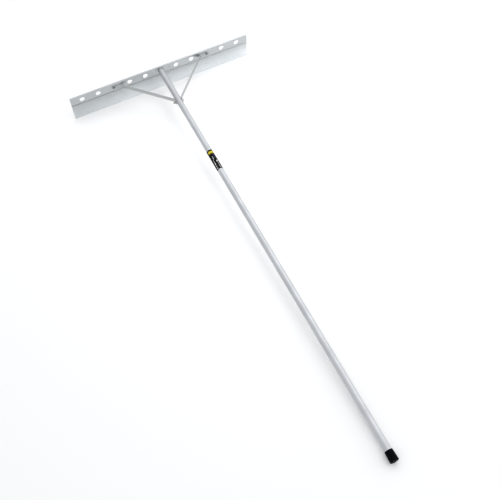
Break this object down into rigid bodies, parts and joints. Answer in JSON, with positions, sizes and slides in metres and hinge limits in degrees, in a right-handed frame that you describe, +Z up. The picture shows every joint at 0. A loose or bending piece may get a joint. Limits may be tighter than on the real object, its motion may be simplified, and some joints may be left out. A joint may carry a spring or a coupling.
{
  "type": "levelling lute",
  "caption": "Long-handled levelling rake: a wide aluminium blade with relief holes and a rolled top edge, braced square to a tubular handle with a rubber end cap.",
  "frame": {"origin": "on the ground, at the centre of the bounding box base, midway between the blade and the handle end", "axes": "+Z up; +Y from the handle end towards the blade; +X along the blade, to the right of someone holding the handle"},
  "size_m": [0.915, 2.1272, 0.1304],
  "materials": {
    "blade_aluminium": "extruded mill finish, satin",
    "tube_aluminium": "drawn tube, satin",
    "brace_aluminium": "flat bar, mill finish",
    "zinc_steel": "bright zinc plated",
    "cap_rubber": "moulded, matte",
    "label_vinyl": "printed vinyl with a yellow band"
  },
  "bodies": {
    "root": {"blade": "blade_aluminium", "handle_tube": "tube_aluminium", "end_cap": "cap_rubber", "handle_label": "label_vinyl", "head_plug": "brace_aluminium", "plug_rivet": "brace_aluminium", "centre_screw": "zinc_steel", "brace_left": "brace_aluminium", "brace_right": "brace_aluminium", "brace_screw_left": "zinc_steel", "brace_washer_left": "zinc_steel", "brace_spring_washer_left": "zinc_steel", "brace_nut_left": "zinc_steel", "brace_screw_right": "zinc_steel", "brace_washer_right": "zinc_steel", "brace_spring_washer_right": "zinc_steel", "brace_nut_right": "zinc_steel", "cross_nut_washer": "zinc_steel", "cross_spring_washer": "zinc_steel", "cross_nut": "zinc_steel", "cross_head_washer": "zinc_steel", "cross_bolt": "zinc_steel"}
  },
  "joints": []
}
